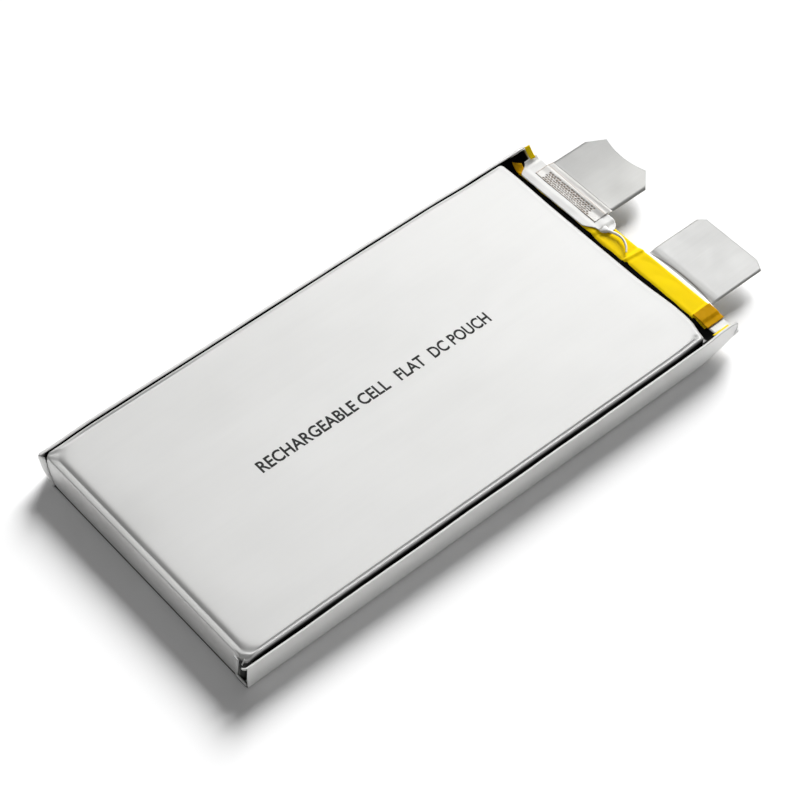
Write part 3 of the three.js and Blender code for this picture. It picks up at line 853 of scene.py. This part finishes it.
def build_tail():
    """The thin curled strand of white tape lying across the yellow tape."""
    centre = spline([(-6.6, 71.6, 4.7), (-4.6, 72.3, 4.8), (-2.2, 72.9, 4.9), (-0.2, 72.6, 5.0),
                     (1.6, 71.6, 5.0), (2.9, 70.4, 4.9)], 40)
    width = np.interp(np.linspace(0, 1, 40), [0, 0.15, 0.5, 1], [1.3, 0.5, 0.32, 0.16])
    across = np.linspace(-1, 1, 7)
    points = np.zeros((7, 40, 3))
    for i, point in enumerate(centre):
        ahead = centre[min(i + 1, 39)] - centre[max(i - 1, 0)]
        normal = np.array([-ahead[1], ahead[0], 0]) / np.hypot(ahead[0], ahead[1])
        for j, a in enumerate(across):
            points[j, i] = point + normal * a * width[i] + np.array([0, 0, 0.25 * (1 - a * a)])
    return thicken(make_grid("white_tail", points, white), 0.07, 1)


place(joined("white_tape", [build_white_tape(), build_tail()]), "white_tape", "adapter_insulating_tape")

# ------------------------------------------------------------------ terminals


def blade_outline(left, right, end, cuts, notch):
    """Plan of a blade: left and right corner cuts as (across, along), and a shallow curve in its end."""
    (left_x, left_y), (right_x, right_y) = cuts
    tip = np.linspace(left + left_x, right - right_x, 25)
    middle = (tip[0] + tip[-1]) / 2
    half = (tip[-1] - tip[0]) / 2
    ends = end - notch * (1 - ((tip - middle) / half) ** 2)
    return tip, ends, left_y, right_y


def build_blade(left, right, route, cuts, notch):
    """A blade as a sheet: rows follow the route (y, z), columns span its width and shape its end."""
    path = rounded(route, 0.5, 150)
    tip, ends, left_y, right_y = blade_outline(left, right, path[-1][0], cuts, notch)
    columns = np.concatenate([[left], np.linspace(left, tip[0], 5)[1:-1], tip,
                              np.linspace(tip[-1], right, 5)[1:-1], [right]])
    end = path[-1][0]
    stop = np.interp(columns, np.concatenate([[left], tip, [right]]),
                     np.concatenate([[end - left_y], ends, [end - right_y]]))
    points = np.zeros((len(path), len(columns), 3))
    flat_from = end - max(left_y, right_y) - 2
    for c, (x, last) in enumerate(zip(columns, stop)):
        y = path[:, 0].copy()
        scale = (last - flat_from) / (end - flat_from)
        y = np.where(y > flat_from, flat_from + (y - flat_from) * scale, y)
        z = np.interp(y, path[:, 0], path[:, 1])
        points[:, c] = np.stack([np.full(len(path), x), y, z], axis=1)
    return points


# Stores where the metal is darkened: weld pits, and painted shade lines along edges and folds.
def mark_pits_and_shade(thing, values):
    attribute = thing.data.attributes.new("pits_and_shade", "FLOAT", "POINT")
    attribute.data.foreach_set("value", np.ravel(values).astype(np.float32))


def blade_edge_shade(points):
    """Painted shade: a dark line along the sheared edges of a blade outside the pouch."""
    edges = np.zeros(points.shape[:2])
    edges[:, 0] = edges[:, -1] = edges[-1] = 0.5
    return edges * smoothstep(points[..., 1], TERRACE_END + 1.5, TERRACE_END + 3.0)


def weld_pits(x, y, x_range, y_range):
    """How strongly each point lies in one of the weld's staggered pits, 0 to 1."""
    pits = []
    for row, py in enumerate(np.arange(y_range[0] + 0.2, y_range[1] - 0.1, 0.60)):
        for px in np.arange(x_range[0] + 0.2 + 0.42 * (row % 2), x_range[1] - 0.1, 0.86):
            shake = [noise.noise(Vector((px * 3, py * 3, seed))) for seed in (1.0, 2.0, 3.0)]
            pits.append((px + 0.24 * shake[0], py + 0.16 * shake[1], 0.30 + 0.10 * shake[2]))
    deep = np.zeros(x.shape)
    for px, py, radius in pits:
        deep = np.maximum(deep, np.exp(-(((x - px) / radius) ** 2 + ((y - py) / (radius * 0.8)) ** 2) ** 1.5))
    return deep


def build_adapter():
    left, right = adapter_low[0], adapter_high[0]
    weld_z = adapter_high[2] - 0.15
    route = [(71.5, weld_z), (73.4, weld_z), (74.3, weld_z + 0.08), (75.2, weld_z + 0.16),
             (76.1, weld_z - 0.05), (77.0, BLADE_Z + 0.12), (78.2, BLADE_Z), (BLADE_END, BLADE_Z)]
    points = build_blade(left, right, route, ((2.7, 4.7), (4.5, 4.4)), 1.2)
    blade = points[points[:, 0, 1] >= WELD_STRIP_END]
    fine_x = np.linspace(left, right, 261)
    fine_y = np.concatenate([np.linspace(71.5, 74.8, 48)[:-1], np.linspace(74.8, blade[0, 0, 1], 22)])
    gx, gy = np.meshgrid(fine_x, fine_y)
    all_path = points[:, 0, 1:]
    gz = np.interp(gy, all_path[:, 0], all_path[:, 1])
    # the bent band grows wider to the right, so the rise starts earlier there
    skew = 0.9 * smoothstep(gx, left, right) * smoothstep(gy, 73.2, 75.0) * (1 - smoothstep(gy, 75.6, 77.2))
    gz = gz + 0.18 * skew
    pits = weld_pits(gx, gy, (left + 2.2, right - 3.2), (71.6, 74.4))
    # painted shade: dark lines along the bend's fold and along the strip's left and near edges
    fold_line_shade = 0.7 * bell(gy, 75.75 - 0.8 * smoothstep(gx, left, right), 0.12)
    head = make_grid("adapter_weld", np.stack([gx, gy, gz - 0.12 * pits], axis=2), weld_nickel)
    edge_line_shade = 0.8 * np.maximum(bell(gx, left + 0.08, 0.13), bell(gy, 71.55, 0.1))
    mark_pits_and_shade(head, np.maximum.reduce([pits, fold_line_shade, edge_line_shade]))
    tip = make_grid("adapter_blade", blade, nickel)
    mark_pits_and_shade(tip, blade_edge_shade(blade))
    thing = joined("nickel_strip", [thicken(head, TAB), thicken(tip, TAB)])
    place(thing, "nickel", "nickel_adapter")


build_adapter()


def build_negative():
    left, right = negative_low[0], negative_high[0]
    start_z = 4.05
    route = [(66.0, start_z), (74.6, start_z), (75.6, start_z + 0.02), (76.6, BLADE_Z - 0.12),
             (77.8, BLADE_Z), (BLADE_END, BLADE_Z)]
    points = build_blade(left, right, route, ((1.5, 1.8), (3.0, 1.6)), 0.0)
    thing = make_grid("negative_terminal", points, bright_nickel)
    # painted shade: a dark line on the blade along the sealant's curved edge, and along its sheared edges
    t = np.clip((points[..., 0] - (left + right) / 2) / ((right - left) / 2), -1, 1)
    crescent = TERRACE_END + 0.35 + 1.45 * (1 - t ** 2) ** 0.6
    crescent_shade = bell(points[..., 1], crescent, 0.16)
    mark_pits_and_shade(thing, np.maximum(crescent_shade, blade_edge_shade(points)))
    place(thicken(thing, TAB), "nickel", "negative_tab")


build_negative()


def build_folded_tab():
    left, right = folded_low[0], folded_high[0]
    low, high = 4.0, adapter_high[2] - 0.42
    middle, radius = (low + high) / 2, (high - low) / 2
    angles = np.linspace(-math.pi / 2, math.pi / 2, 14)
    bend = [(76.0 + radius * math.cos(a), middle + radius * math.sin(a)) for a in angles]
    path = [(66.0, low), (70.0, low), (74.0, low)] + bend + [(74.5, high), (72.5, high), (71.2, high)]
    x = np.linspace(left, right, 40)
    points = np.array([[(column, y, z) for column in x] for y, z in path])
    points[..., 2] += 0.03 * wander(points[..., 0], points[..., 1], 5, 3, 41.0)
    tab = make_grid("folded_aluminium_tab", points, aluminium, flip=True)
    place(thicken(tab, TAB, 0), "aluminium_tab", "positive_tab")


build_folded_tab()


def build_sealant(pole, layer, bulge):
    """A sealant film, its outer edge bowed out between its round ends."""
    node = f"{pole}_tab_sealant_{layer}"
    low, high = node_box(node)
    columns = 60
    x = np.linspace(low[0], high[0], columns)
    t = np.linspace(-1, 1, columns)
    outer = high[1] - 0.7 + bulge * (1 - t ** 2) ** 0.6
    rows = np.linspace(0, 1, 10)[:, None]
    gx = np.repeat(x[None, :], 10, axis=0)
    gy = (low[1] + 1.9) * (1 - rows) + outer[None, :] * rows
    level = (low[2] + high[2]) / 2
    sign = 1 if layer == "upper" else -1
    drop = smoothstep(gy, TERRACE_END - 0.2, TERRACE_END + 1.2)
    gz = level + 0.03 * wander(gx, gy, 3, 2, 50 + sign) - sign * 0.03 * drop
    gz = gz + (0.12 * drop if sign > 0 else 0)
    sheet = make_grid(node + "_film", np.stack([gx, gy, gz], axis=2), sealant)
    place(thicken(sheet, 0.1, 0), "tab_sealant", node)


for pole in ("positive", "negative"):
    build_sealant(pole, "upper", 0.6)
    build_sealant(pole, "lower", 1.6)

# ------------------------------------------------------------------ printed line

PRINT_GROUPS = [("RECHARGEABLE CELL", -38.3, 37.6), ("FLAT", 2.2, 7.9), ("DC POUCH", 12.4, 17.6)]


def build_print():
    """Generic wording in thin ink that follows the cup's top."""
    things = []
    for words, start, length in PRINT_GROUPS:
        curve = bpy.data.curves.new("words", "FONT")
        curve.body = words
        curve.size = 4.6 * MM
        curve.offset = 0.10 * MM
        curve.resolution_u = 4
        text = bpy.data.objects.new("words", curve)
        bpy.context.scene.collection.objects.link(text)
        bpy.context.view_layer.update()
        mesh = bpy.data.meshes.new_from_object(text.evaluated_get(bpy.context.evaluated_depsgraph_get()))
        co = np.array([v.co for v in mesh.vertices])
        width = (co[:, 0].max() - co[:, 0].min()) / MM
        scale = length / width
        along = (co[:, 0] - co[:, 0].min()) / MM * scale + start
        up = co[:, 1] / MM
        x, y = -0.4 - up, along
        z = TOP + 0.03 + relief(x, y) + 0.012
        for vertex, point in zip(mesh.vertices, np.stack([x, y, z], axis=1) * MM):
            vertex.co = point
        bpy.data.objects.remove(text)
        mesh.materials.append(ink)
        thing = bpy.data.objects.new("words", mesh)
        bpy.context.scene.collection.objects.link(thing)
        things.append(thing)
    place(joined("printed_line", things), "cathode_coating")


build_print()

# ------------------------------------------------------------------ pieces kept from the CAD model

KEPT = {"anode_sheet": anode, "cathode_sheet": cathode, "separator": separator, "stack_tape": green,
        "positive_weld_tape": yellow, "negative_weld_tape": yellow}
for name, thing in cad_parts.items():
    for start, material in KEPT.items():
        if name.startswith(start):
            thing.data.materials.clear()
            thing.data.materials.append(material)

# ------------------------------------------------------------------ floor, light and camera


def build_floor():
    size = 3000
    points = np.array([[-size, -size, 0], [size, -size, 0], [size, size, 0], [-size, size, 0]], float)
    n = Nodes("floor")
    n.shade(Base_Color=n.ramp(n.noise(3.0, 2, 0.5), (0.3, grey(0.93)), (0.7, grey(0.94))), Roughness=0.9,
            Specular_IOR_Level=0.1)
    floor = make_object("floor", points, [(0, 1, 2, 3)], n.material)


# Soft suns: the key lights the floor and matt surfaces, the sheen and the rim show only in glossy ones.
KEY = {"towards": (-0.93, 1.62, 1.0), "angle": 26, "strength": 6.1}
SHEEN = {"towards": (-0.53, 0.69, 0.80), "angle": 24, "strength": 0.83}
RIM = {"towards": (-0.86, 0.41, 0.31), "angle": 24, "strength": 0.36}
FILL_STRENGTH = 1.5
SKY = 0.18


def area_light(name, place_at, target, size, power):
    data = bpy.data.lights.new(name, "AREA")
    data.shape = "RECTANGLE"
    data.size, data.size_y = size
    data.energy = power
    light = bpy.data.objects.new(name, data)
    bpy.context.scene.collection.objects.link(light)
    light.location = place_at
    light.rotation_euler = (Vector(target) - Vector(place_at)).to_track_quat("-Z", "Y").to_euler()


def build_light():
    for name, setting in (("key", KEY), ("sheen", SHEEN), ("rim", RIM)):
        sun = bpy.data.lights.new(name, "SUN")
        sun.energy = setting["strength"]
        sun.angle = math.radians(setting["angle"])
        light = bpy.data.objects.new(name, sun)
        light.visible_glossy = name != "key"
        light.visible_diffuse = name == "key"
        bpy.context.scene.collection.objects.link(light)
        light.rotation_euler = Vector(setting["towards"]).to_track_quat("Z", "Y").to_euler()
    area_light("fill", (1.0, -0.05, 0.28), (0, 0, 0), (0.9, 0.5), FILL_STRENGTH)
    world = bpy.data.worlds.new("studio")
    world.use_nodes = True
    background = world.node_tree.nodes["Background"]
    background.inputs["Color"].default_value = (1, 1, 1, 1)
    background.inputs["Strength"].default_value = SKY
    bpy.context.scene.world = world


def build_camera():
    """A long lens above and to the right of the cell's folded end, turned a little on its axis."""
    azimuth, elevation, roll = (math.radians(v) for v in (48.647, 51.933, 0.803))
    distance, aim_right, aim_up = 592.5, 1.12, 1.91
    back = Vector((math.sin(azimuth) * math.cos(elevation), -math.cos(azimuth) * math.cos(elevation),
                   math.sin(elevation)))
    level = Vector((math.cos(azimuth), math.sin(azimuth), 0))
    upright = back.cross(level)
    right = math.cos(roll) * level + math.sin(roll) * upright
    up = -math.sin(roll) * level + math.cos(roll) * upright
    data = bpy.data.cameras.new("camera")
    data.sensor_width = 36
    data.lens = 115.76
    data.clip_start, data.clip_end = 0.01, 20
    camera = bpy.data.objects.new("camera", data)
    bpy.context.scene.collection.objects.link(camera)
    turn = Matrix((right, up, back)).transposed().to_4x4()
    spot = (aim_right * right + aim_up * up + distance * back) * MM
    camera.matrix_world = Matrix.Translation(spot) @ turn
    bpy.context.scene.camera = camera


build_floor()
build_light()
build_camera()
bpy.context.scene.view_settings.view_transform = "Standard"

bpy.context.view_layer.update()
